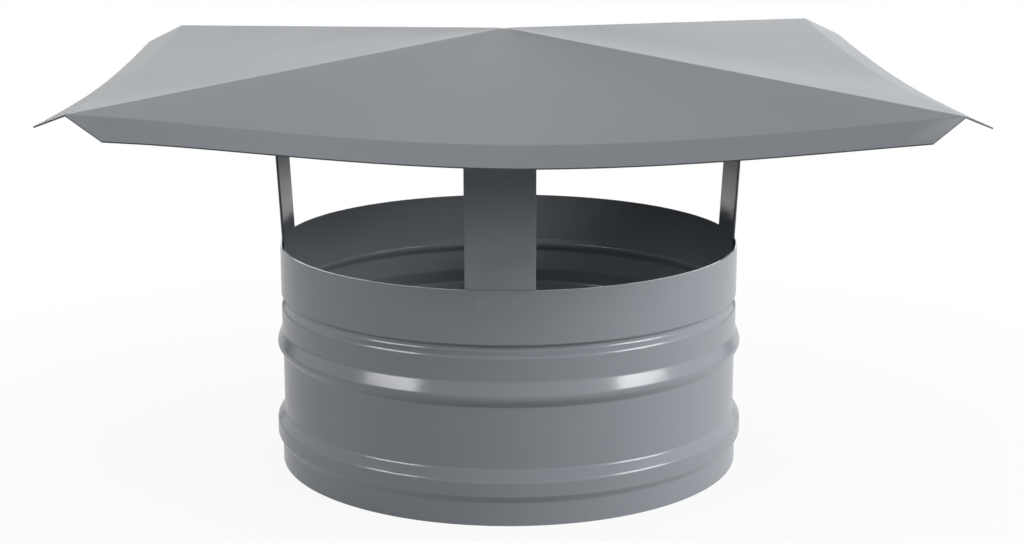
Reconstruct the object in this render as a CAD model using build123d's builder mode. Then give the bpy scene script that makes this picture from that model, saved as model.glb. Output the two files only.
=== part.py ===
from build123d import *

import os
from math import acos, atan2, cos, degrees, hypot, radians, sin, sqrt, tan

# A square hat on four bent straps, spot welded to a rolled collar that seats on a flue pipe.
# Sizes are in millimetres and angles in degrees. The origin is on the collar's axis, at its lower
# edge, with +Z up. The hat's sides face +X, -X, +Y and -Y, and its front is the -Y side.

# Collar: a tube rolled from sheet, with swaged rings. Radii are on the outside of the wall, a drop
# is measured down from the rim, and a rise or a depth from the plain belt under the rim. The
# mouth slips over a pipe of 200 mm outside diameter, whose end stops on the ramp of the socket.
COLLAR_HEIGHT = 97.0
COLLAR_SHEET = 0.7
BELT_RADIUS = 100.05

GROOVE_DROP = 21.85
GROOVE_DEPTH = 1.25
GROOVE_UPPER_WALL = 3.0
GROOVE_FLOOR = 1.0
GROOVE_LOWER_WALL = 2.8

BEAD_DROP = 37.25
BEAD_RISE = 2.35
BEAD_UPPER_RAMP = 5.7
BEAD_CREST = 1.5
BEAD_LOWER_RAMP = 3.7

TUBE_STEP_IN = 0.3

SOCKET_DROP = 73.7
SOCKET_RISE = 2.85
SOCKET_RAMP = 4.35
SOCKET_LAND = 5.45
SOCKET_RETURN = 3.6
MOUTH_RISE = 0.8

# Hat: a sheet 350 mm square, measured flat from its centre. A fall is the angle of a line on the
# sheet below the horizontal: along the two crossed diagonal creases, and down the middles of the
# faces, which hang lower there than at the creases, as a sheet bent along its diagonals does.
# The hat was set on its straps by eye, so that its point is off the collar's axis, towards -X.
APEX_HEIGHT = 189.2
APEX_OFFSET = 1.7
HAT_SHEET = 0.6
FOLD_DISTANCE = 159.0
FLANGE_WIDTH = 16.2
FLANGE_FALL = 24.0
FIRST_CREASE_FALL = 3.25
SECOND_CREASE_FALL = 3.86
FRONT_FACE_FALL = 9.02
SIDE_FACE_FALL = 6.49

# Straps: flat strip, with a foot rolled to the collar, a leg that leans out and a tab bent in
# under the hat. The blend is the height over which the rolled foot becomes the flat leg, whose
# side edges carry straight on from the foot's. Bearings turn from +X towards +Y, and are uneven,
# as the straps were set by hand.
STRAP_WIDTH = 28.2
STRAP_SHEET = 1.0
STRAP_FOOT = 14.0
STRAP_BLEND = 16.0
STRAP_LEAN = 3.0
STRAP_TAB = 18.0
STRAP_BEND = 1.5
STRAP_BEARINGS = {"front": -93.9, "right": 4.9, "back": 91.0, "left": 174.4}

# The slip between a strap and the sheet it is welded to.
SEAT_GAP = 0.05

# Spot welds, two at each end of a strap. A mark stands a little proud of the sheet it is in.
WELD_RADIUS = 2.2
WELD_RISE = 0.15
FOOT_WELD_DROP = 5.5
FOOT_WELD_OFFSETS = (-7.6, 5.4)
TAB_WELD_OFFSETS = (-7.0, 7.0)

# Worked out from the sizes above. A face is named by the way it looks, as a turn from +X, and has
# the falls of its middle line, of the crease where it starts and of the crease where it ends.
APEX = Vector(-APEX_OFFSET, 0, APEX_HEIGHT)
CREASE_FALL = (FIRST_CREASE_FALL + SECOND_CREASE_FALL) / 2
HALF_SIDE = FOLD_DISTANCE * cos(radians(CREASE_FALL))
FLANGE_REACH = FLANGE_WIDTH * cos(radians(FLANGE_FALL))
FACE_FALLS = {
    -90: (FRONT_FACE_FALL, FIRST_CREASE_FALL, SECOND_CREASE_FALL),
    0: (SIDE_FACE_FALL, SECOND_CREASE_FALL, FIRST_CREASE_FALL),
    90: (FRONT_FACE_FALL, FIRST_CREASE_FALL, SECOND_CREASE_FALL),
    180: (SIDE_FACE_FALL, SECOND_CREASE_FALL, FIRST_CREASE_FALL),
}
FOOT_RADIUS = BELT_RADIUS - COLLAR_SHEET - SEAT_GAP
LEG_REACH = sqrt(FOOT_RADIUS**2 - (STRAP_WIDTH / 2) ** 2)
SEAT_DROP = HAT_SHEET + SEAT_GAP

# How far the working blocks reach, which is well past the finished sheet.
BLOCK_REACH = 1.6 * FOLD_DISTANCE

os.makedirs("parts", exist_ok=True)


def collar_corners():
    """Corners of the wall's outer line, from the rim down to the mouth: radius and height."""
    tube = BELT_RADIUS - TUBE_STEP_IN
    land = BELT_RADIUS + SOCKET_RISE
    mouth = BELT_RADIUS + MOUTH_RISE
    groove = BELT_RADIUS - GROOVE_DEPTH
    crest = BELT_RADIUS + BEAD_RISE
    floor_drop = GROOVE_DROP + GROOVE_UPPER_WALL
    crest_drop = BEAD_DROP + BEAD_UPPER_RAMP
    land_drop = SOCKET_DROP + SOCKET_RAMP
    corners = (
        (BELT_RADIUS, 0),
        (BELT_RADIUS, GROOVE_DROP),
        (groove, floor_drop),
        (groove, floor_drop + GROOVE_FLOOR),
        (BELT_RADIUS, floor_drop + GROOVE_FLOOR + GROOVE_LOWER_WALL),
        (BELT_RADIUS, BEAD_DROP),
        (crest, crest_drop),
        (crest, crest_drop + BEAD_CREST),
        (tube, crest_drop + BEAD_CREST + BEAD_LOWER_RAMP),
        (tube, SOCKET_DROP),
        (land, land_drop),
        (land, land_drop + SOCKET_LAND),
        (mouth, land_drop + SOCKET_LAND + SOCKET_RETURN),
        (mouth, COLLAR_HEIGHT),
    )
    return [(radius, COLLAR_HEIGHT - drop) for radius, drop in corners]


def plan_point(out, across, turn):
    """A point in plan, given out from the axis and across, for a direction that turns from +X."""
    angle = radians(turn)
    return Vector(out * cos(angle) - across * sin(angle), out * sin(angle) + across * cos(angle))


def side_plane(turn, distance):
    """The upright plane square to a direction, at a distance: its x runs across and its y is up."""
    outward = plan_point(1, 0, turn)
    return Plane(origin=outward * distance, x_dir=plan_point(0, 1, turn), z_dir=outward)


def sheet_line(bearing, fall):
    """Direction of a line from the apex down the sheet, at a bearing in plan and a fall."""
    return plan_point(cos(radians(fall)), 0, bearing) - Vector(0, 0, sin(radians(fall)))


def face_lines(turn):
    """Directions down a face from the apex: its middle, its starting crease and its ending one."""
    middle, start, end = FACE_FALLS[turn]
    return sheet_line(turn, middle), sheet_line(turn - 45, start), sheet_line(turn + 45, end)


def face_axis(turn):
    """Axis of the round cone that a face is part of: the one cone through the face's lines."""
    middle, start, end = face_lines(turn)
    return (end - middle).cross(start - middle).normalized()


def face_sector(turn):
    """The part of a face's cone between its creases, from the apex out to past the flange."""
    middle, start, end = face_lines(turn)
    axis = face_axis(turn)
    spread = (start - axis * axis.dot(start)).get_angle(end - axis * axis.dot(end))
    return Face.revolve(Edge.make_line(APEX, APEX + start * BLOCK_REACH), spread, Axis(APEX, axis))


def fold_points(turn):
    """Points on the fold above a flange: its starting corner, its middle and its ending corner."""
    middle, start, end = face_lines(turn)
    corner_run = hypot(HALF_SIDE, HALF_SIDE)
    return (
        APEX + start * (corner_run / hypot(start.X, start.Y)),
        APEX + middle * FOLD_DISTANCE,
        APEX + end * (corner_run / hypot(end.X, end.Y)),
    )


def nearest_turn(bearing):
    """The turn of the face that a bearing crosses."""
    return min(FACE_FALLS, key=lambda turn: abs((bearing - turn + 180) % 360 - 180))


def fall_at(bearing):
    """Fall of the line from the apex down the sheet at a bearing in plan."""
    axis = face_axis(nearest_turn(bearing))
    outward = axis.dot(plan_point(1, 0, bearing))
    along = axis.dot(face_lines(nearest_turn(bearing))[0])
    return degrees(acos(along / hypot(outward, axis.Z)) - atan2(axis.Z, outward))


def hat_bearing(bearing):
    """Bearing, seen from the apex, of the place where a strap comes up to the hat."""
    top = plan_point(LEG_REACH, 0, bearing) - APEX
    return degrees(atan2(top.Y, top.X))


def leg_line(bearing):
    """Direction up a strap's leg."""
    return plan_point(sin(radians(STRAP_LEAN)), 0, bearing) + Vector(0, 0, cos(radians(STRAP_LEAN)))


def tab_plane(bearing):
    """The plane of a tab's upper side, along the hat's underside: its x runs down the hat, and its
    origin is the outer corner between the strap's leg and its tab."""
    seen = hat_bearing(bearing)
    axis = face_axis(nearest_turn(seen))
    down = sheet_line(seen, fall_at(seen))
    upright = axis - down * axis.dot(down)
    foot = plan_point(LEG_REACH, 0, bearing) + Vector(0, 0, COLLAR_HEIGHT)
    rise = (APEX - Vector(0, 0, SEAT_DROP) - foot).dot(upright) / leg_line(bearing).dot(upright)
    return Plane(origin=foot + leg_line(bearing) * rise, x_dir=down, z_dir=upright)


def lowered(solid, drop):
    """A copy of a solid, moved down."""
    return solid.moved(Location((0, 0, -drop)))


# Collar: the outer line of the wall, thickened inwards and revolved.
with BuildPart() as collar:
    with BuildSketch(Plane.XZ):
        with BuildLine():
            Polyline(collar_corners())
            offset(amount=COLLAR_SHEET, kind=Kind.INTERSECTION, side=Side.RIGHT)
        make_face()
    revolve(axis=Axis.Z)
collar.part.label = "collar"
export_step(collar.part, "parts/collar.step")

# The space under the hat's upper surface: a sector of a cone over each face, carried down, and cut
# by the four flanges, each carried on up its own slope.
with BuildPart() as hat_block:
    for turn in FACE_FALLS:
        extrude(face_sector(turn), amount=APEX_HEIGHT, dir=(0, 0, -1))
    for turn in FACE_FALLS:
        flange_end = Plane(APEX, x_dir=plan_point(0, 1, turn), z_dir=sheet_line(turn, FLANGE_FALL))
        with BuildSketch(flange_end) as flange_section:
            with BuildLine():
                start, middle, end = [flange_end.to_local_coords(point) for point in fold_points(turn)]
                far = 2 * BLOCK_REACH
                ThreePointArc((start.X, start.Y), (middle.X, middle.Y), (end.X, end.Y))
                Polyline((end.X, end.Y), (far, end.Y), (far, -far), (-far, -far), (-far, start.Y), (start.X, start.Y))
            make_face()
        extrude(flange_section.sketch, amount=far, both=True, mode=Mode.INTERSECT)

# Hat: the sheet between that surface and its copy one thickness lower, cut to the plan of the
# folded blank, whose corners are cropped square to the creases, through the corners of the folds.
with BuildPart() as canopy:
    add(hat_block.part)
    add(lowered(hat_block.part, HAT_SHEET), mode=Mode.SUBTRACT)
    with BuildSketch(Plane(origin=(APEX.X, APEX.Y, 0))) as plan:
        with BuildLine():
            for turn, (middle_fall, start_fall, end_fall) in FACE_FALLS.items():
                start = plan_point(HALF_SIDE + FLANGE_REACH, FLANGE_REACH - HALF_SIDE, turn)
                middle = plan_point(FOLD_DISTANCE * cos(radians(middle_fall)) + FLANGE_REACH, 0, turn)
                end = plan_point(HALF_SIDE + FLANGE_REACH, HALF_SIDE - FLANGE_REACH, turn)
                ThreePointArc(start, middle, end)
                Line(end, plan_point(HALF_SIDE - FLANGE_REACH, HALF_SIDE + FLANGE_REACH, turn))
        make_face()
    extrude(plan.sketch, amount=APEX_HEIGHT, mode=Mode.INTERSECT)
canopy.part.label = "canopy"
export_step(canopy.part, "parts/canopy.step")

# Straps: a flat leg trimmed to the plane of its tab, the tab, which is bent in and tilted to lie
# flat to the hat wherever the strap stands, and a blend from the leg down to the rolled foot.
for name, bearing in STRAP_BEARINGS.items():
    outward = plan_point(1, 0, bearing)
    outer_corner = tab_plane(bearing).origin
    inner_corner = outer_corner - outward * STRAP_SHEET - Vector(0, 0, STRAP_SHEET)
    level = Plane.XY.rotated((0, 0, bearing))

    with BuildPart() as tab:
        with BuildSketch(tab_plane(bearing)) as tab_sheet:
            Rectangle(2 * BLOCK_REACH, 2 * STRAP_WIDTH)
        extrude(tab_sheet.sketch, amount=-STRAP_SHEET)
        with BuildSketch(level) as tab_plan:
            with Locations((outward.dot(outer_corner) - STRAP_SHEET / 2, 0)):
                Rectangle(STRAP_TAB, STRAP_WIDTH, align=(Align.MAX, Align.CENTER))
        extrude(tab_plan.sketch, amount=APEX_HEIGHT, mode=Mode.INTERSECT)

    with BuildPart() as strap:
        with BuildSketch(level.offset(COLLAR_HEIGHT + STRAP_BLEND)) as leg_section:
            blend_reach = LEG_REACH + STRAP_BLEND * tan(radians(STRAP_LEAN))
            with Locations((blend_reach, 0)):
                Rectangle(STRAP_SHEET, STRAP_WIDTH, align=(Align.MAX, Align.CENTER))
        extrude(leg_section.sketch, amount=APEX_HEIGHT, dir=leg_line(bearing))
        split(bisect_by=tab_plane(bearing), keep=Keep.BOTTOM)
        add(tab.part)
        fillet(strap.edges().sort_by_distance(outer_corner)[0], STRAP_BEND + STRAP_SHEET)
        fillet(strap.edges().sort_by_distance(inner_corner)[0], STRAP_BEND)
        with BuildSketch(level.offset(COLLAR_HEIGHT)) as foot_section:
            with BuildLine():
                edge = STRAP_WIDTH / 2
                inner = LEG_REACH - STRAP_SHEET
                ThreePointArc((LEG_REACH, -edge), (FOOT_RADIUS, 0), (LEG_REACH, edge))
                Line((LEG_REACH, edge), (inner, edge))
                ThreePointArc((inner, edge), (FOOT_RADIUS - STRAP_SHEET, 0), (inner, -edge))
                Line((inner, -edge), (LEG_REACH, -edge))
            make_face()
        loft([foot_section.sketch.face(), leg_section.sketch.face()], ruled=True)
        extrude(foot_section.sketch, amount=-STRAP_FOOT)
    strap.part.label = f"{name}_strap"
    export_step(strap.part, f"parts/{name}_strap.step")

# Spot welds in the collar: discs that follow its outside, over each strap's foot.
with BuildPart() as collar_spot_welds:
    for bearing in STRAP_BEARINGS.values():
        with BuildSketch(side_plane(bearing, BELT_RADIUS)):
            with Locations(*[(offset, COLLAR_HEIGHT - FOOT_WELD_DROP) for offset in FOOT_WELD_OFFSETS]):
                Circle(WELD_RADIUS)
        extrude(amount=WELD_RADIUS, both=True)
    with BuildSketch() as collar_skin:
        Circle(BELT_RADIUS + WELD_RISE)
        Circle(BELT_RADIUS, mode=Mode.SUBTRACT)
    extrude(collar_skin.sketch, amount=COLLAR_HEIGHT, mode=Mode.INTERSECT)
collar_spot_welds.part.label = "collar_spot_welds"
export_step(collar_spot_welds.part, "parts/collar_spot_welds.step")

# Spot welds in the hat: flat discs on the undersides of the tabs.
with BuildPart() as canopy_spot_welds:
    for bearing in STRAP_BEARINGS.values():
        with BuildSketch(tab_plane(bearing).offset(-STRAP_SHEET)):
            with Locations(*[(-STRAP_TAB / 2, offset) for offset in TAB_WELD_OFFSETS]):
                Circle(WELD_RADIUS)
        extrude(amount=-WELD_RISE)
canopy_spot_welds.part.label = "canopy_spot_welds"
export_step(canopy_spot_welds.part, "parts/canopy_spot_welds.step")
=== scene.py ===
# %% [markdown]
# # A chinese hat flue cap
# This cap keeps rain out of a round flue pipe. A square hat of creased sheet stands on four bent
# straps, which are spot welded inside a rolled and swaged collar, and all of it has a satin grey
# powder coat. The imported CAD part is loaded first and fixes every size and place. Each bare solid
# is then replaced by a finer piece with rounded bends, cut edges and a coat with real detail.

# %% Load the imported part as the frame
import bmesh
import bpy
import math
from mathutils import Matrix, Vector


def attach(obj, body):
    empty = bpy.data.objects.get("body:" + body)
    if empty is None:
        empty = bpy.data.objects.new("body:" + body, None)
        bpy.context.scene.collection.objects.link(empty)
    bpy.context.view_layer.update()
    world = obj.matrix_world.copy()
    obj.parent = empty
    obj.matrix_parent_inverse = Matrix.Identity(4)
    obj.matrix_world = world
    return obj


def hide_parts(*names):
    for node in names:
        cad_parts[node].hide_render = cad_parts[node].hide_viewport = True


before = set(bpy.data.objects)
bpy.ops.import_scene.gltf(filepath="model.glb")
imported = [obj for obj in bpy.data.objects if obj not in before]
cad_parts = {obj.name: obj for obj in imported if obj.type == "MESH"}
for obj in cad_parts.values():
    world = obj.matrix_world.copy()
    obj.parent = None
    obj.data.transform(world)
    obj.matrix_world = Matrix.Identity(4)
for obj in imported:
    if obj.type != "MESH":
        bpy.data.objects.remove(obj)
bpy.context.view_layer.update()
bpy.ops.object.select_all(action="DESELECT")
MM = 0.001
print("nodes:", sorted(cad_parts))

# %% [markdown]
# ## Helpers for modelling by hand
# The pieces are shaped with Blender's own operators, as a person would: add a primitive, go into
# edit mode, select, extrude, spin, bevel. An operator acts on whatever is selected, so these small
# helpers select vertices or edges by where they are.

# %% Select in edit mode
def select_points(piece, test):
    """Select the vertices of the piece in edit mode that pass a test of their place."""
    mesh = bmesh.from_edit_mesh(piece.data)
    mesh.select_mode = {"VERT"}
    for point in mesh.verts:
        point.select_set(False)
    for point in mesh.verts:
        if test(point.co):
            point.select_set(True)
    mesh.select_flush(True)
    bmesh.update_edit_mesh(piece.data)
    return sum(point.select for point in mesh.verts)


def select_lines(piece, test):
    """Select the edges of the piece in edit mode that pass a test of the edge."""
    bpy.ops.mesh.select_mode(type="EDGE")
    bpy.ops.mesh.select_all(action="DESELECT")
    mesh = bmesh.from_edit_mesh(piece.data)
    for line in mesh.edges:
        if test(line):
            line.select_set(True)
    bmesh.update_edit_mesh(piece.data)
    return sum(line.select for line in mesh.edges)


# %% [markdown]
# Every sheet is first drawn as a bare surface, and gets its thickness when its shape is done. The faces on
# its cut edges are marked then, so that painted shade can darken them. A finished piece is shaded smooth up
# to an angle, stands for its CAD node and rides on the one body.

# %% Finish a piece
CUT_ANGLE = math.radians(50)


def add_modifier(piece, kind, **values):
    """Add a modifier with its values and apply it at once."""
    bpy.context.view_layer.objects.active = piece
    modifier = piece.modifiers.new(kind.lower(), kind)
    for key, value in values.items():
        setattr(modifier, key, value)
    bpy.ops.object.modifier_apply(modifier=modifier.name)


def give_sheet(piece, thickness, edge_round):
    """Give a surface its sheet thickness, on the inside, round its cut edges and mark them."""
    piece.data.materials.append(None)
    piece.data.materials.append(None)
    add_modifier(
        piece, "SOLIDIFY", thickness=thickness, offset=-1, use_even_offset=True, material_offset_rim=1
    )
    add_modifier(
        piece, "BEVEL", width=edge_round, segments=2, limit_method="ANGLE", angle_limit=CUT_ANGLE
    )
    cut_edge = piece.data.attributes.new("cut_edge", "FLOAT", "FACE")
    for face in piece.data.polygons:
        cut_edge.data[face.index].value = float(face.material_index)
        face.material_index = 0
    print(piece.name, "faces on cut edges:", sum(item.value > 0 for item in cut_edge.data))


def piece_box(piece):
    """Lowest and highest corners of a piece, in millimetres."""
    places = [point.co for point in piece.data.vertices]
    low = tuple(round(min(place[axis] for place in places) / MM, 2) for axis in range(3))
    high = tuple(round(max(place[axis] for place in places) / MM, 2) for axis in range(3))
    return low, high


def finish_piece(piece, node, smooth_angle):
    """Shade a piece, let its large faces stay flat, and let it stand for its CAD node."""
    bpy.ops.object.select_all(action="DESELECT")
    piece.select_set(True)
    bpy.context.view_layer.objects.active = piece
    bpy.ops.object.transform_apply(location=True, rotation=True, scale=True)
    bpy.ops.object.shade_smooth_by_angle(angle=math.radians(smooth_angle))
    add_modifier(piece, "WEIGHTED_NORMAL", mode="FACE_AREA", weight=100, keep_sharp=True)
    piece.select_set(False)
    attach(piece, "root")
    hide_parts(node)
    low, high = piece_box(piece)
    print(piece.name, "faces", len(piece.data.polygons), "from", low, "to", high)


# %% [markdown]
# ## The collar
# The collar is a strip of steel rolled into a tube. Rollers then press rings into it: a narrow
# groove, a round bead that stiffens it, and a belled socket at the foot that slips over the pipe.
# It could be turned as one profile with the Screw modifier. Here a circle is extruded down the
# wall ring by ring, because each step then reads like the rolling itself, and every bend can have
# its own radius. The bends matter most for the look: they carry the long thin highlights.

# %% The collar's profile, with a radius at each bend
COLLAR_HEIGHT = 97.0
COLLAR_SHEET = 0.7
BELT_RADIUS = 100.05
BEND_STEPS = 6
COLLAR_CORNERS = (
    # radius, drop below the rim, bend radius
    (BELT_RADIUS, 0.0, 0),
    (BELT_RADIUS, 21.9, 0.4),
    (98.15, 23.5, 0.5),
    (98.15, 24.7, 2.2),
    (BELT_RADIUS, 27.3, 2.8),
    (BELT_RADIUS, 37.1, 4.0),
    (102.5, 43.9, 3.4),
    (99.75, 47.8, 1.2),
    (99.75, 73.7, 2.5),
    (102.9, 78.0, 2.5),
    (102.9, 84.2, 0.7),
    (100.85, 87.0, 2.2),
    (100.85, 97.0, 0),
)


def rounded_profile(corners, steps):
    """Points along a profile whose corners are rounded to their bend radii."""
    points = [Vector(corners[0][:2])]
    for before, corner, after in zip(corners, corners[1:], corners[2:]):
        here = Vector(corner[:2])
        back = (Vector(before[:2]) - here).normalized()
        on = (Vector(after[:2]) - here).normalized()
        turn = math.pi - back.angle(on)
        run = corner[2] * math.tan(turn / 2)
        for step in range(steps + 1):
            share = step / steps
            start, end = here + back * run, here + on * run
            points.append(start.lerp(here, share).lerp(here.lerp(end, share), share))
    points.append(Vector(corners[-1][:2]))
    return points


collar_line = rounded_profile(COLLAR_CORNERS, BEND_STEPS)
print("points down the collar's wall:", len(collar_line))

# %% [markdown]
# The rim is a circle. Each extrusion goes straight down by one step of the profile and is then
# resized about the axis to the radius there. The wall gets its thickness on the inside, because
# the profile above is that of the outside.

# %% Extrude a circle down the profile
COLLAR_SIDES = 224
COLLAR_EDGE_ROUND = 0.12
COLLAR_SMOOTH = 40
first = collar_line[0]
bpy.ops.mesh.primitive_circle_add(
    vertices=COLLAR_SIDES, radius=first.x * MM, location=(0, 0, (COLLAR_HEIGHT - first.y) * MM)
)
collar = bpy.context.object
collar.name = "collar_swaged"
bpy.ops.object.transform_apply(location=True)
bpy.ops.object.mode_set(mode="EDIT")
bpy.ops.mesh.select_all(action="SELECT")
for above, below in zip(collar_line, collar_line[1:]):
    drop = (below.y - above.y) * MM
    bpy.ops.mesh.extrude_region_move(TRANSFORM_OT_translate={"value": (0, 0, -drop)})
    bpy.ops.transform.resize(value=(below.x / above.x, below.x / above.x, 1), center_override=(0, 0, 0))
bpy.ops.mesh.select_all(action="SELECT")
bpy.ops.mesh.normals_make_consistent(inside=False)
bpy.ops.object.mode_set(mode="OBJECT")
give_sheet(collar, COLLAR_SHEET * MM, COLLAR_EDGE_ROUND * MM)
finish_piece(collar, "collar", COLLAR_SMOOTH)

# %% [markdown]
# ## The hat
# The hat is one square sheet. It is creased along both diagonals, which lifts the middle to a
# blunt point and lets each face sag between its creases, and its four edges are bent down as a
# drip flange. A sheet bends only one way at a time, so each face is part of a round cone whose tip
# is the hat's point. The two creases fall by slightly different angles, so the hat is a little
# twisted, and it stands 1.7 mm off the collar's axis, as it was set by hand.

# %% The hat's falls, lines and axes
APEX_HEIGHT = 189.2
APEX_OFFSET = 1.7
HAT_SHEET = 0.6
FOLD_DISTANCE = 159.0
FIRST_FALL = 3.25
SECOND_FALL = 3.86
FRONT_FALL = 9.02
SIDE_FALL = 6.49
FACE_FALLS = {
    # the way a face looks: fall of its middle line, its starting crease and its ending crease
    -90: (FRONT_FALL, FIRST_FALL, SECOND_FALL),
    0: (SIDE_FALL, SECOND_FALL, FIRST_FALL),
    90: (FRONT_FALL, FIRST_FALL, SECOND_FALL),
    180: (SIDE_FALL, SECOND_FALL, FIRST_FALL),
}
apex = Vector((-APEX_OFFSET, 0, APEX_HEIGHT)) * MM
half_side = FOLD_DISTANCE * math.cos(math.radians((FIRST_FALL + SECOND_FALL) / 2)) * MM


def sheet_line(bearing, fall):
    """Direction from the point down the sheet, at a bearing in plan and a fall, in degrees."""
    turn, drop = math.radians(bearing), math.radians(fall)
    return Vector((math.cos(turn) * math.cos(drop), math.sin(turn) * math.cos(drop), -math.sin(drop)))


def face_lines(turn):
    """Directions down a face: its middle, its starting crease and its ending crease."""
    middle, start, end = FACE_FALLS[turn]
    return sheet_line(turn, middle), sheet_line(turn - 45, start), sheet_line(turn + 45, end)


def face_axis(turn):
    """Axis of the round cone through a face's three lines."""
    middle, start, end = face_lines(turn)
    return (end - middle).cross(start - middle).normalized()


for turn in FACE_FALLS:
    print("face", turn, "cone axis", tuple(round(value, 4) for value in face_axis(turn)))

# %% [markdown]
# The faces could be a grid that is pushed into shape, but a straight line from the point, spun
# about each face's own axis, sweeps the true bend of a sheet. A small plane is merged to a single
# vertex at the point, and the line is drawn from it along one crease. Its first steps are short,
# because the point is blunted later.

# %% Spin a line from the point round the four faces
LINE_STEPS = [3] * 3 + [9] * 27
FACE_STEPS = 28
bpy.ops.mesh.primitive_plane_add(size=2 * MM, location=apex)
hat = bpy.context.object
hat.name = "hat_sheet"
bpy.ops.object.transform_apply(location=True)
bpy.ops.object.mode_set(mode="EDIT")
bpy.ops.mesh.select_mode(type="VERT")
bpy.ops.mesh.select_all(action="SELECT")
bpy.ops.mesh.merge(type="CENTER")
crease = face_lines(-90)[1]
for length in LINE_STEPS:
    bpy.ops.mesh.extrude_vertices_move(TRANSFORM_OT_translate={"value": crease * length * MM})
bpy.ops.mesh.select_all(action="SELECT")
for turn in FACE_FALLS:
    start, end = face_lines(turn)[1:]
    axis = face_axis(turn)
    spread = (start - axis * axis.dot(start)).angle(end - axis * axis.dot(end))
    bpy.ops.mesh.spin(steps=FACE_STEPS, angle=-spread, center=apex, axis=axis)
bpy.ops.mesh.select_all(action="SELECT")
bpy.ops.mesh.remove_doubles(threshold=0.01 * MM)
bpy.ops.mesh.normals_make_consistent(inside=False)
bpy.ops.object.mode_set(mode="OBJECT")
print("hat after the spins:", piece_box(hat), len(hat.data.polygons))

# %% [markdown]
# The front face of this hat isn't quite a round cone. Beside its middle it hangs straighter, most
# of all on the left, where the sheet took a softer bend. Every straight line from the point stays
# straight if its far end is only lifted, so each vertex is lifted by its share of the way out.

# %% Lift the front face beside its middle
LEFT_RISE = 1.3
RIGHT_RISE = 0.4
# the form below is nothing at the middle line and at the crease, and 1 / 2.09 at its highest
RISE_SCALE = 2.09
highest = 0
for point in hat.data.vertices:
    out, side = apex.y - point.co.y, point.co.x - apex.x
    if out > 0 and abs(side) < out:
        share = abs(side) / out
        rise = LEFT_RISE if side < 0 else RIGHT_RISE
        lift = rise * RISE_SCALE * share**1.3 * (1 - share**4) * out / half_side
        point.co.z += lift * MM
        highest = max(highest, lift)
print("largest lift in the swept sheet, in millimetres:", round(highest, 2))

# %% [markdown]
# The swept sheet is larger than the hat. The fold above each flange lies where a plane through
# its two corners and its middle meets the face, and that plane cuts the spare sheet away.

# %% Cut the four sides along the folds
def fold_points(turn):
    """The fold above a flange: its starting corner, its middle and its ending corner."""
    middle, start, end = face_lines(turn)
    run = half_side * math.sqrt(2)
    return (
        apex + start * (run / start.xy.length),
        apex + middle * FOLD_DISTANCE * MM,
        apex + end * (run / end.xy.length),
    )


bpy.ops.object.mode_set(mode="EDIT")
fold_planes = {}
for turn in FACE_FALLS:
    start, middle, end = fold_points(turn)
    normal = (end - start).cross(middle - start).normalized()
    if normal.dot(sheet_line(turn, 0)) < 0:
        normal.negate()
    fold_planes[turn] = (middle, normal)
    bpy.ops.mesh.select_all(action="SELECT")
    bpy.ops.mesh.bisect(plane_co=middle, plane_no=normal, clear_outer=True, threshold=0.001 * MM)
    print("fold", turn, "middle", tuple(round(value / MM, 2) for value in middle))

# %% [markdown]
# Each flange is extruded from its fold. It hangs steeper at the corners than in the middle,
# because it was bent by one angle from a sheet that slopes more in its middle. It is also made
# narrower than its fold, which is how the corners are cropped.

# %% Extrude the drip flange from each side, and crop its corners
FLANGE_WIDTH = 16.2
FLANGE_FALLS = {
    # the way a flange looks: its fall at the corners and in its middle
    -90: (26.7, 20.4),
    0: (24.0, 21.5),
    90: (26.7, 20.4),
    180: (24.0, 21.5),
}
NEAR = 0.02 * MM


def in_plane(line, place, normal):
    """Whether both ends of an edge lie in a plane."""
    return all(abs((point.co - place).dot(normal)) < NEAR for point in line.verts)


for turn, (place, normal) in fold_planes.items():
    found = select_lines(hat, lambda line: line.is_boundary and in_plane(line, place, normal))
    at_corner, in_middle = [sheet_line(turn, fall) * FLANGE_WIDTH * MM for fall in FLANGE_FALLS[turn]]
    bpy.ops.mesh.extrude_edges_move(TRANSFORM_OT_translate={"value": at_corner})
    crop = 1 - at_corner.xy.length / half_side
    narrower = (crop, 1, 1) if turn % 180 else (1, crop, 1)
    bpy.ops.transform.resize(value=narrower, center_override=apex)
    across = sheet_line(turn + 90, 0)
    mesh = bmesh.from_edit_mesh(hat.data)
    for point in mesh.verts:
        if point.select:
            share = 1 - ((point.co - apex).dot(across) / (half_side * crop)) ** 2
            point.co += (in_middle - at_corner) * max(share, 0)
    bmesh.update_edit_mesh(hat.data)
    print("flange", turn, "edges", found)
bpy.ops.mesh.select_all(action="SELECT")
bpy.ops.mesh.normals_make_consistent(inside=False)
bpy.ops.object.mode_set(mode="OBJECT")
if sum(face.normal.z for face in hat.data.polygons) < 0:
    hat.data.flip_normals()

# %% [markdown]
# A press brake leaves a small radius, never a knife edge. The point is blunted by smoothing its
# vertices, and the creases and folds get a narrow bevel. The bevel stops short of the point,
# where the four creases would run into each other.

# %% Blunt the point, and round the creases and folds
POINT_REACH = 7.0
CREASE_START = 8.0
HAT_BEND = 0.7
HAT_EDGE_ROUND = 0.1
HAT_SMOOTH = 30


def near_point(place):
    """Whether a place is part of the blunt point."""
    return (place - apex).length < POINT_REACH * MM


def on_crease(line):
    """Whether an edge lies on a crease, past the blunt point."""
    along = all(abs(abs(point.co.x - apex.x) - abs(point.co.y)) < NEAR for point in line.verts)
    return along and all((point.co - apex).length > CREASE_START * MM for point in line.verts)


def on_bend(line):
    """Whether an edge between two faces lies on a fold or a crease."""
    if line.is_boundary or len(line.link_faces) != 2:
        return False
    return any(in_plane(line, *plane) for plane in fold_planes.values()) or on_crease(line)


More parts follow.
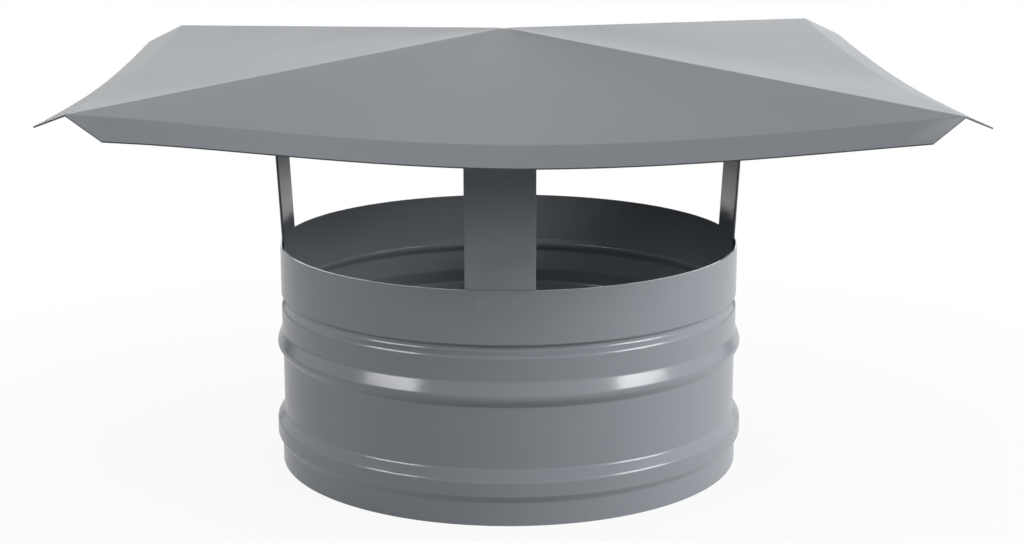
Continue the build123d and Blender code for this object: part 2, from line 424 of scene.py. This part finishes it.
bpy.ops.object.mode_set(mode="EDIT")
bpy.ops.mesh.select_mode(type="VERT")
print("vertices in the point:", select_points(hat, near_point))
bpy.ops.mesh.vertices_smooth(factor=0.5, repeat=4)
print("bends to round:", select_lines(hat, on_bend))
bpy.ops.mesh.bevel(
    offset=HAT_BEND * MM, offset_type="OFFSET", segments=3, profile=0.5, affect="EDGES", clamp_overlap=True
)
bpy.ops.object.mode_set(mode="OBJECT")
give_sheet(hat, HAT_SHEET * MM, HAT_EDGE_ROUND * MM)
finish_piece(hat, "canopy", HAT_SMOOTH)

# %% [markdown]
# ## The straps
# Each strap is a flat strip of 1 mm steel. Its foot is rolled to the collar's inside, its leg leans
# out a little, and its top is bent in under the hat. The straps don't stand quite evenly, and the
# hat slopes differently over each, so the place and slope of the hat's underside are worked out
# for every bearing first.

# %% The straps' sizes, and where they meet the hat
STRAP_WIDTH = 28.2
STRAP_SHEET = 1.0
STRAP_LEAN = 3.0
STRAP_BEARINGS = {"front": -93.9, "right": 4.9, "back": 91.0, "left": 174.4}
SEAT_GAP = 0.05
foot_radius = BELT_RADIUS - COLLAR_SHEET - SEAT_GAP
leg_reach = math.sqrt(foot_radius**2 - (STRAP_WIDTH / 2) ** 2)
seat_drop = HAT_SHEET + SEAT_GAP


def nearest_turn(bearing):
    """The face of the hat that a bearing crosses."""
    return 90 * round(bearing / 90)


def fall_at(bearing):
    """Fall of the sheet's line at a bearing, from the cone of its face, in degrees."""
    axis = face_axis(nearest_turn(bearing))
    outward = axis.dot(sheet_line(bearing, 0))
    along = axis.dot(face_lines(nearest_turn(bearing))[0])
    return math.degrees(math.acos(along / math.hypot(outward, axis.z)) - math.atan2(axis.z, outward))


def leg_line(bearing):
    """Direction up a strap's leaning leg."""
    lean = math.radians(STRAP_LEAN)
    return sheet_line(bearing, 0) * math.sin(lean) + Vector((0, 0, math.cos(lean)))


def hat_underside(bearing):
    """Normal and fall line of the hat's underside over a strap at a bearing, and the outer corner
    where the strap's leg meets it, in metres."""
    top = sheet_line(bearing, 0) * leg_reach * MM - apex
    seen = math.degrees(math.atan2(top.y, top.x))
    axis = face_axis(nearest_turn(seen))
    down = sheet_line(seen, fall_at(seen))
    normal = (axis - down * axis.dot(down)).normalized()
    foot = (sheet_line(bearing, 0) * leg_reach + Vector((0, 0, COLLAR_HEIGHT))) * MM
    up = leg_line(bearing)
    under = apex - Vector((0, 0, seat_drop * MM))
    return normal, down, foot + up * ((under - foot).dot(normal) / up.dot(normal))


for name, bearing in STRAP_BEARINGS.items():
    corner = hat_underside(bearing)[2]
    print(name, "outer corner", tuple(round(value / MM, 2) for value in corner))

# %% [markdown]
# A strap could be cut from a box, but a real strip is bent, not cut. So the foot is spun about the
# collar's axis, the leg is drawn up from it and flattened on the way, and the top is spun about
# the line of the bend. All of this is done at +X, where the collar's radius is along one axis.

# %% Roll the foot, draw up the leg and bend the tab
STRAP_FOOT = 14.0
STRAP_BLEND = 16.0
STRAP_TAB = 18.0
STRAP_BEND = 1.5
FOOT_STEPS = 10
BLEND_STEPS = 8
TAB_STEPS = 8


def bend_strap(name, fall, height):
    """One strap at +X, from its foot up, to an outer corner at a height and a tab with a fall."""
    half_turn = math.asin(STRAP_WIDTH / 2 / foot_radius)
    foot_height = COLLAR_HEIGHT - STRAP_FOOT
    bpy.ops.mesh.primitive_plane_add(size=2 * MM, location=(0, 0, 0))
    strap = bpy.context.object
    strap.name = name + "_strap_bent"
    bpy.ops.object.mode_set(mode="EDIT")
    bpy.ops.mesh.select_mode(type="VERT")
    bpy.ops.mesh.select_all(action="SELECT")
    bpy.ops.mesh.merge(type="CENTER")
    start = (foot_radius * math.cos(half_turn), -foot_radius * math.sin(half_turn), foot_height)
    bpy.ops.transform.translate(value=Vector(start) * MM)
    bpy.ops.mesh.spin(steps=FOOT_STEPS, angle=-2 * half_turn, center=(0, 0, 0), axis=(0, 0, 1))
    bpy.ops.mesh.select_all(action="SELECT")
    bpy.ops.mesh.extrude_edges_move(TRANSFORM_OT_translate={"value": (0, 0, STRAP_FOOT * MM)})
    lean = math.tan(math.radians(STRAP_LEAN))
    for step in range(BLEND_STEPS):
        rise = STRAP_BLEND / BLEND_STEPS
        bpy.ops.mesh.extrude_edges_move(TRANSFORM_OT_translate={"value": (rise * lean * MM, 0, rise * MM)})
        edge = (leg_reach + (step + 1) * rise * lean) * MM
        flatter = (BLEND_STEPS - step - 1) / (BLEND_STEPS - step)
        bpy.ops.transform.resize(value=(flatter, 1, 1), center_override=(edge, 0, 0))
    turn = math.radians(90 - fall + STRAP_LEAN)
    outer_bend = STRAP_BEND + STRAP_SHEET
    run = outer_bend * math.tan(turn / 2)
    up = leg_line(0)
    corner = Vector((leg_reach + (height - COLLAR_HEIGHT) * lean, 0, height))
    leg_end = corner - up * run
    leg_now = Vector((leg_reach + STRAP_BLEND * lean, 0, COLLAR_HEIGHT + STRAP_BLEND))
    bpy.ops.mesh.extrude_edges_move(TRANSFORM_OT_translate={"value": (leg_end - leg_now) * MM})
    inward = Vector((-up.z, 0, up.x))
    centre = leg_end + inward * outer_bend
    bpy.ops.mesh.spin(steps=TAB_STEPS, angle=turn, center=centre * MM, axis=(0, 1, 0))
    along = -sheet_line(0, fall)
    bpy.ops.mesh.extrude_edges_move(TRANSFORM_OT_translate={"value": along * (STRAP_TAB - run) * MM})
    bpy.ops.mesh.select_all(action="SELECT")
    bpy.ops.mesh.remove_doubles(threshold=0.001 * MM)
    bpy.ops.mesh.normals_make_consistent(inside=False)
    bpy.ops.object.mode_set(mode="OBJECT")
    return strap


print("strap helper ready, foot radius", round(foot_radius, 2), "leg reach", round(leg_reach, 2))

# %% [markdown]
# The hat's face also slopes sideways over a strap that stands off its middle line. The top of the
# strap is sheared by that slope, so that its tab lies flat to the sheet. Then the strap gets its
# thickness and is turned to its bearing.

# %% Make the four straps
SHEAR_START = 6.0
SHEAR_RUN = 4.0
STRAP_EDGE_ROUND = 0.4
STRAP_SMOOTH = 40
for name, bearing in STRAP_BEARINGS.items():
    normal, _, corner = hat_underside(bearing)
    fall = math.degrees(math.atan2(normal.dot(sheet_line(bearing, 0)), normal.z))
    tilt = normal.dot(sheet_line(bearing + 90, 0)) / normal.z
    strap = bend_strap(name, fall, corner.z / MM)
    middle_face = max(strap.data.polygons, key=lambda face: face.area)
    if middle_face.normal.x < 0:
        strap.data.flip_normals()
    for point in strap.data.vertices:
        share = min(max((point.co.z - corner.z + SHEAR_START * MM) / (SHEAR_RUN * MM), 0), 1)
        point.co.z -= share * point.co.y * tilt
    give_sheet(strap, STRAP_SHEET * MM, STRAP_EDGE_ROUND * MM)
    strap.rotation_euler = (0, 0, math.radians(bearing))
    finish_piece(strap, name + "_strap", STRAP_SMOOTH)

# %% [markdown]
# ## The spot welds
# A spot welder pinches two sheets between copper tips. What shows under the coat is a shallow
# dish with a soft raised ring round it. Each mark starts as a disc, and its rings are inset and
# moved to make the dish. The same mark is copied to all its places and the copies are joined,
# because the marks of one kind are one node.

# %% Press a mark, and join its copies
WELD_RADIUS = 2.2
MARK_SINK = 0.03
MARK_THICKNESS = 0.035
MARK_RINGS = (
    # inset and rise of each ring
    (0.3, 0.06),
    (0.3, 0.04),
    (0.25, 0.0),
    (0.3, -0.05),
    (0.35, -0.03),
    (0.3, 0.0),
)


def press_mark(name):
    """A weld mark lying flat at the origin, facing +Z, with its base a little below zero."""
    bpy.ops.mesh.primitive_circle_add(
        vertices=32, radius=WELD_RADIUS * MM, fill_type="NGON", location=(0, 0, -MARK_SINK * MM)
    )
    mark = bpy.context.object
    mark.name = name
    bpy.ops.object.transform_apply(location=True)
    bpy.ops.object.mode_set(mode="EDIT")
    bpy.ops.mesh.select_mode(type="FACE")
    bpy.ops.mesh.select_all(action="SELECT")
    bpy.ops.mesh.extrude_region_move(TRANSFORM_OT_translate={"value": (0, 0, MARK_THICKNESS * MM)})
    for inset, rise in MARK_RINGS:
        bpy.ops.mesh.inset(thickness=inset * MM, depth=0)
        bpy.ops.transform.translate(value=(0, 0, rise * MM))
    bpy.ops.mesh.select_all(action="SELECT")
    bpy.ops.mesh.normals_make_consistent(inside=False)
    bpy.ops.object.mode_set(mode="OBJECT")
    return mark


def join_marks(name, places):
    """Copies of the mark at the given places, joined as one piece."""
    marks = []
    for number, place in enumerate(places):
        mark = press_mark(f"{name}_{number}")
        mark.data.transform(place)
        marks.append(mark)
    bpy.ops.object.select_all(action="DESELECT")
    for mark in marks:
        mark.select_set(True)
    bpy.context.view_layer.objects.active = marks[0]
    bpy.ops.object.join()
    marks[0].name = name
    return marks[0]


print("rings in a mark:", len(MARK_RINGS))

# %% [markdown]
# Two marks hold each foot and two hold each tab. The marks on the collar face outwards, and two
# of them show below the front strap. Those of the tabs face down, under the hat.

# %% Place the marks
FOOT_WELD_DROP = 5.5
FOOT_WELD_OFFSETS = (-7.6, 5.4)
TAB_WELD_OFFSETS = (-7.0, 7.0)
WELD_SMOOTH = 40


def facing(normal, place):
    """The placing that turns +Z to a normal and moves the origin to a place."""
    return Matrix.Translation(place) @ normal.to_track_quat("Z", "Y").to_matrix().to_4x4()


collar_places = []
tab_places = []
for bearing in STRAP_BEARINGS.values():
    for offset in FOOT_WELD_OFFSETS:
        outward = sheet_line(bearing + math.degrees(math.asin(offset / BELT_RADIUS)), 0)
        height = Vector((0, 0, COLLAR_HEIGHT - FOOT_WELD_DROP))
        collar_places.append(facing(outward, (outward * BELT_RADIUS + height) * MM))
    normal, down, corner = hat_underside(bearing)
    for offset in TAB_WELD_OFFSETS:
        place = corner - (normal * STRAP_SHEET + down * STRAP_TAB / 2 - normal.cross(down) * offset) * MM
        tab_places.append(facing(-normal, place))
collar_marks = join_marks("collar_weld_marks", collar_places)
finish_piece(collar_marks, "collar_spot_welds", WELD_SMOOTH)
tab_marks = join_marks("hat_weld_marks", tab_places)
finish_piece(tab_marks, "canopy_spot_welds", WELD_SMOOTH)

# %% [markdown]
# ## The powder coat
# The coat is baked-on grey powder. Close up it has a fine orange-peel texture, its sheen varies a
# little where it is thicker, and it holds a trace of dust. A flat grey would look like plastic.
# What the pieces share is built once, as node groups, and each material then sets its own
# amounts. These helpers keep the node trees short.

# %% Helpers for node trees
def new_group(name, inputs, outputs):
    """An empty node group with its sockets, and its input and output nodes."""
    group = bpy.data.node_groups.new(name, "ShaderNodeTree")
    for socket, kind in inputs:
        group.interface.new_socket(name=socket, in_out="INPUT", socket_type=kind)
    for socket, kind in outputs:
        group.interface.new_socket(name=socket, in_out="OUTPUT", socket_type=kind)
    return group, group.nodes.new("NodeGroupInput").outputs, group.nodes.new("NodeGroupOutput").inputs


def feed(tree, socket, value):
    """Link a socket to another one, or set it to a plain value."""
    if isinstance(value, bpy.types.NodeSocket):
        tree.links.new(value, socket)
    else:
        socket.default_value = value


def node(tree, kind, inputs=None, **values):
    """A node with its values set, and its inputs set or linked."""
    made = tree.nodes.new(kind)
    for key, value in values.items():
        setattr(made, key, value)
    for key, value in (inputs or {}).items():
        feed(tree, made.inputs[key], value)
    return made


def worked(tree, operation, first, second):
    """The result of one operation on two numbers or sockets."""
    return node(tree, "ShaderNodeMath", {0: first, 1: second}, operation=operation).outputs[0]


def noise(tree, place, scale, detail, roughness):
    """The value of a noise over a place."""
    settings = {"Vector": place, "Scale": scale, "Detail": detail, "Roughness": roughness}
    return node(tree, "ShaderNodeTexNoise", settings).outputs["Fac"]


def ranged(tree, value, source, result, interpolation="LINEAR"):
    """A value mapped from its source range to the range of the result."""
    settings = {
        "Value": value,
        "From Min": source[0],
        "From Max": source[1],
        "To Min": result[0],
        "To Max": result[1],
    }
    return node(tree, "ShaderNodeMapRange", settings, interpolation_type=interpolation).outputs[0]


# %% [markdown]
# The first group gives the tone and the gloss. The cut edges, which were marked while the sheets got their
# thickness, are painted darker than the faces, as painted shade. Dust is paler and duller than the coat,
# and lies in patches.

# %% The shared tone and gloss
CLOUD_SHARE = 0.75
DUST_COLOUR = (0.32, 0.32, 0.31, 1)
GLOSS_SWING = 0.16
DUST_DULLING = 0.3
tone, tone_in, tone_out = new_group(
    "coat_tone",
    [
        ("Place", "NodeSocketVector"),
        ("Colour", "NodeSocketColor"),
        ("Variation", "NodeSocketFloat"),
        ("Roughness", "NodeSocketFloat"),
        ("Dust", "NodeSocketFloat"),
        ("Cut Edge Shade", "NodeSocketFloat"),
    ],
    [("Colour", "NodeSocketColor"), ("Roughness", "NodeSocketFloat")],
)
cloud = noise(tone, tone_in["Place"], scale=14.0, detail=3.0, roughness=0.55)
speck = noise(tone, tone_in["Place"], scale=900.0, detail=2.0, roughness=0.6)
clouds = worked(tone, "MULTIPLY", cloud, CLOUD_SHARE)
specks = worked(tone, "MULTIPLY", speck, 1 - CLOUD_SHARE)
centred = worked(tone, "SUBTRACT", worked(tone, "ADD", clouds, specks), 0.5)
spread = worked(tone, "MULTIPLY", centred, tone_in["Variation"])
# Painted shade: the cut edges are darkened by their share.
unshaded_share = worked(tone, "SUBTRACT", 1.0, tone_in["Cut Edge Shade"])
gain = worked(tone, "ADD", spread, unshaded_share)
toned = node(tone, "ShaderNodeVectorMath", {0: tone_in["Colour"], "Scale": gain}, operation="SCALE")
dust_noise = noise(tone, tone_in["Place"], scale=46.0, detail=5.0, roughness=0.7)
dust_mask = ranged(tone, dust_noise, (0.52, 0.75), (0.0, 1.0))
dust_share = worked(tone, "MULTIPLY", dust_mask, tone_in["Dust"])
dusty = node(tone, "ShaderNodeMix", {0: dust_share, 6: toned.outputs[0], 7: DUST_COLOUR}, data_type="RGBA")
rough_swing = worked(tone, "MULTIPLY", centred, GLOSS_SWING)
rough_dust = worked(tone, "MULTIPLY", dust_share, DUST_DULLING)
rough_sum = worked(tone, "ADD", rough_swing, rough_dust)
feed(tone, tone_out["Colour"], dusty.outputs[2])
feed(tone, tone_out["Roughness"], worked(tone, "ADD", rough_sum, tone_in["Roughness"]))
print("group:", tone.name, "with", len(tone.nodes), "nodes")

# %% [markdown]
# The second group gives the relief. Fine bumps make the orange peel, and very shallow long waves,
# left by the rollers, make the highlights waver.

# %% The shared relief
PEEL_DEPTH = 0.0001
WAVE_DEPTH = 0.002
relief, relief_in, relief_out = new_group(
    "coat_relief",
    [("Place", "NodeSocketVector"), ("Peel", "NodeSocketFloat"), ("Waves", "NodeSocketFloat")],
    [("Normal", "NodeSocketVector")],
)
peel = noise(relief, relief_in["Place"], scale=420.0, detail=2.0, roughness=0.5)
waves = noise(relief, relief_in["Place"], scale=16.0, detail=1.0, roughness=0.4)
wave_settings = {"Strength": relief_in["Waves"], "Distance": WAVE_DEPTH, "Height": waves}
wave_bump = node(relief, "ShaderNodeBump", wave_settings).outputs[0]
peel_settings = {"Strength": relief_in["Peel"], "Distance": PEEL_DEPTH, "Height": peel, "Normal": wave_bump}
peel_bump = node(relief, "ShaderNodeBump", peel_settings).outputs[0]
feed(relief, relief_out["Normal"], peel_bump)
print("group:", relief.name, "with", len(relief.nodes), "nodes")

# %% [markdown]
# Each kind of piece has its own coat. The hat's is much duller than the collar's, and its tone is painted a
# little darker, as painted shade on the hat. The gloss of the straps and of the weld marks lies between the
# two, and the weld marks hold the most dust. The materials read Object coordinates, so the pattern stays
# with the piece.

# %% The coat on each kind of piece
COAT_IOR = 1.5


def coat(name, colour, variation, roughness, dust, peel, waves, edge_shade):
    """A powder coat with its own tone, gloss and relief, and painted shade on cut edges."""
    material = bpy.data.materials.new(name)
    material.use_nodes = True
    tree = material.node_tree
    tree.nodes.clear()
    place = node(tree, "ShaderNodeTexCoord").outputs["Object"]
    # The cut-edge mask brings painted shade onto the cut edges.
    edge = node(tree, "ShaderNodeAttribute", attribute_name="cut_edge").outputs["Fac"]
    look_settings = {
        "Place": place,
        "Colour": (*colour, 1),
        "Variation": variation,
        "Roughness": roughness,
        "Dust": dust,
        "Cut Edge Shade": worked(tree, "MULTIPLY", edge, edge_shade),
    }
    look = node(tree, "ShaderNodeGroup", look_settings, node_tree=tone)
    bump = node(tree, "ShaderNodeGroup", {"Place": place, "Peel": peel, "Waves": waves}, node_tree=relief)
    surface_settings = {
        "Base Color": look.outputs["Colour"],
        "Roughness": look.outputs["Roughness"],
        "Normal": bump.outputs["Normal"],
        "IOR": COAT_IOR,
    }
    surface = node(tree, "ShaderNodeBsdfPrincipled", surface_settings)
    node(tree, "ShaderNodeOutputMaterial", {"Surface": surface.outputs[0]})
    return material


COAT_COLOUR = (0.190, 0.206, 0.226)
# The hat's tone is painted darker than the collar's, as painted shade on the hat.
HAT_SHADED_COLOUR = (0.184, 0.199, 0.216)
hat_coat = coat(
    "hat_powder_coat", HAT_SHADED_COLOUR,
    variation=0.08, roughness=0.48, dust=0.03, peel=0.12, waves=0.02, edge_shade=0.7,
)
collar_coat = coat(
    "collar_powder_coat", COAT_COLOUR,
    variation=0.10, roughness=0.17, dust=0.05, peel=0.25, waves=0.08, edge_shade=0.4,
)
strap_coat = coat(
    "strap_powder_coat", COAT_COLOUR,
    variation=0.10, roughness=0.22, dust=0.04, peel=0.25, waves=0.03, edge_shade=0.5,
)
weld_coat = coat(
    "weld_powder_coat", COAT_COLOUR,
    variation=0.16, roughness=0.34, dust=0.2, peel=0.5, waves=0.02, edge_shade=0.0,
)
PIECE_COATS = {
    "hat_sheet": hat_coat,
    "collar_swaged": collar_coat,
    "front_strap_bent": strap_coat,
    "right_strap_bent": strap_coat,
    "back_strap_bent": strap_coat,
    "left_strap_bent": strap_coat,
    "collar_weld_marks": weld_coat,
    "hat_weld_marks": weld_coat,
}
for name, material in PIECE_COATS.items():
    piece = bpy.data.objects[name]
    piece.data.materials.clear()
    piece.data.materials.append(material)
for cad_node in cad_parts.values():
    for slot in cad_node.material_slots:
        slot.material = collar_coat
print("coated:", len(PIECE_COATS), "pieces")

# %% [markdown]
# ## Floor, background and light
# The photograph is a studio shot cut out on pure white. The floor is a plain grey sheet with a painted pool
# of light: its tone, and its glow as reflections see it, are painted bright near the cap and fall off round
# it. To the camera it is white all over, with only a trace of its own shade close to the collar, and a
# reflection sees it at half strength. That keeps the underside of the bead and the cut edges dark, as a
# floor that is bright all round would not. Under the collar the floor is painted black, as painted shade
# inside the collar.

# %% Floor
FLOOR_SIZE = 16
COLLAR_REACH = 0.1
PAPER_TONE = 0.45
MIRRORED_SHARE = 0.5
PAINTED_POOL_MIDDLE = (0, -0.12, 0)
bpy.ops.object.select_all(action="DESELECT")
bpy.ops.mesh.primitive_plane_add(size=FLOOR_SIZE, location=(0, 0, 0))
floor = bpy.context.object
floor.name = "floor"
floor_paint = bpy.data.materials.new("floor_paper")
floor_paint.use_nodes = True
tree = floor_paint.node_tree
tree.nodes.clear()
rays = node(tree, "ShaderNodeLightPath").outputs
place = node(tree, "ShaderNodeTexCoord").outputs["Object"]
away = node(tree, "ShaderNodeVectorMath", {0: place}, operation="LENGTH").outputs["Value"]
moved = node(tree, "ShaderNodeVectorMath", {0: place, 1: PAINTED_POOL_MIDDLE}, operation="ADD").outputs[0]
from_middle = node(tree, "ShaderNodeVectorMath", {0: moved}, operation="LENGTH").outputs["Value"]
near_cap = ranged(tree, away, (COLLAR_REACH, 0.4), (0.92, 1.0))
# A painted pool of light: the floor's tone and its glow in reflections fall off away from the cap.
painted_light_pool = ranged(tree, from_middle, (0.5, 0.82), (1.0, 0.1), "SMOOTHSTEP")
# Painted shade: inside the collar's reach the floor is black, in its tone and in reflections.
outside_painted_shade = worked(tree, "GREATER_THAN", away, COLLAR_REACH)
seen = worked(tree, "MULTIPLY", rays["Is Camera Ray"], near_cap)
mirror_share = worked(tree, "MULTIPLY", outside_painted_shade, MIRRORED_SHARE)
mirrored = worked(tree, "MULTIPLY", rays["Is Glossy Ray"], mirror_share)
painted_pool_floor = worked(tree, "MULTIPLY", painted_light_pool, outside_painted_shade)
paper_tone = worked(tree, "MULTIPLY", painted_pool_floor, PAPER_TONE)
paper = node(tree, "ShaderNodeBsdfDiffuse", {"Color": paper_tone}).outputs[0]
strength = worked(tree, "MAXIMUM", rays["Is Camera Ray"], painted_light_pool)
glow = node(tree, "ShaderNodeEmission", {"Color": (1, 1, 1, 1), "Strength": strength}).outputs[0]
glow_share = worked(tree, "MAXIMUM", seen, mirrored)
both = node(tree, "ShaderNodeMixShader", {0: glow_share, 1: paper, 2: glow}).outputs[0]
node(tree, "ShaderNodeOutputMaterial", {"Surface": both})
floor.data.materials.append(floor_paint)
print("floor:", floor.name, "with", len(tree.nodes), "nodes")

# %% [markdown]
# The world is white to the camera. To a reflection it is white near the horizon, as a backdrop
# would be, and darker overhead, where a studio has only its ceiling. The flange and the upper sides
# of the rings look at the ceiling and so stay darker.

# %% World
WORLD_LEVEL = 0.02
CEILING_TONE = 0.3
world = bpy.data.worlds.new("studio")
bpy.context.scene.world = world
world.use_nodes = True
tree = world.node_tree
tree.nodes.clear()
rays = node(tree, "ShaderNodeLightPath").outputs
way = node(tree, "ShaderNodeTexCoord").outputs["Generated"]
height = node(tree, "ShaderNodeSeparateXYZ", {0: way}).outputs["Z"]
ceiling = ranged(tree, height, (0.46, 0.84), (1.0, CEILING_TONE), "SMOOTHSTEP")
glossy = worked(tree, "MULTIPLY", rays["Is Glossy Ray"], ceiling)
direct = worked(tree, "MAXIMUM", rays["Is Camera Ray"], glossy)
direct = worked(tree, "MAXIMUM", direct, rays["Is Transmission Ray"])
ambient = node(tree, "ShaderNodeBackground", {"Color": (1, 1, 1, 1), "Strength": WORLD_LEVEL}).outputs[0]
white = node(tree, "ShaderNodeBackground", {"Color": (1, 1, 1, 1), "Strength": 1.0}).outputs[0]
both = node(tree, "ShaderNodeMixShader", {0: direct, 1: ambient, 2: white}).outputs[0]
node(tree, "ShaderNodeOutputWorld", {"Surface": both})
print("world:", world.name, "with", len(tree.nodes), "nodes")

# %% [markdown]
# Two soft boxes stand left and right in front of the cap, about 20 degrees up. They draw the long
# highlights on the bead and the thin double lines on the groove and the socket: their bearings
# were worked out from where those highlights lie on the round wall. A long low box behind the cap
# does the work of a lit backdrop: the hat's two side faces, seen at a flat angle, take their light
# tone from it. The wide fills at the sides and behind only lift the tone, so they are hidden from
# reflections and draw no highlights of their own.

# %% Lights
LIGHT_TARGET = (0, 0, 0.1)
BOXES = {
    # bearing and elevation in degrees, distance, width and height in metres, level
    "left_box": (-150, 21, 1.6, 0.78, 0.44, 10.5),
    "right_box": (-25, 20, 1.6, 0.76, 0.46, 14.0),
    "backdrop_box": (90, 12, 1.6, 1.8, 0.36, 1.7),
}
FILLS = {
    "left_wall": (178, 18, 2.0, 1.6, 0.9, 0.8),
    "right_wall": (-13, 22, 2.0, 2.4, 0.8, 6.8),
    "back_left": (130, 40, 1.6, 0.9, 0.7, 3.0),
    "back_right": (50, 40, 1.6, 0.9, 0.7, 3.0),
}


def soft_box(name, bearing, elevation, distance, width, height, level):
    """A rectangular soft light that looks at the middle of the cap from a bearing and elevation."""
    way = sheet_line(bearing, -elevation)
    data = bpy.data.lights.new(name, "AREA")
    data.shape = "RECTANGLE"
    data.size = width
    data.size_y = height
    data.energy = level * width * height * math.pi
    lamp = bpy.data.objects.new(name, data)
    bpy.context.scene.collection.objects.link(lamp)
    lamp.location = Vector(LIGHT_TARGET) + way * distance
    lamp.rotation_euler = way.to_track_quat("Z", "Y").to_euler()
    return lamp


for name, values in BOXES.items():
    soft_box(name, *values)
bpy.data.objects["backdrop_box"].visible_camera = False
for name, values in FILLS.items():
    soft_box(name, *values).visible_glossy = False

# %% [markdown]
# ## The camera
# The camera stands where the photographer stood: about 0.85 m in front, 13 degrees above the
# level, with a lens of about 70 mm. Its place was worked out from the corners of the hat and the
# ellipses of the collar in the photograph.

# %% Camera
CAMERA_LENS = 69.2
SENSOR_WIDTH = 36
CAMERA_PLACE = (-0.02859, -0.84714, 0.27981)
CAMERA_DIP = 0.2298
CAMERA_TURN = -0.0354
camera_data = bpy.data.cameras.new("camera")
camera_data.lens = CAMERA_LENS
camera_data.sensor_width = SENSOR_WIDTH
camera = bpy.data.objects.new("camera", camera_data)
bpy.context.scene.collection.objects.link(camera)
camera.location = CAMERA_PLACE
camera.rotation_euler = (math.pi / 2 - CAMERA_DIP, 0, CAMERA_TURN)
bpy.context.scene.camera = camera
bpy.context.scene.view_settings.view_transform = "Standard"
print("camera looks down by", round(math.degrees(CAMERA_DIP), 1), "degrees")
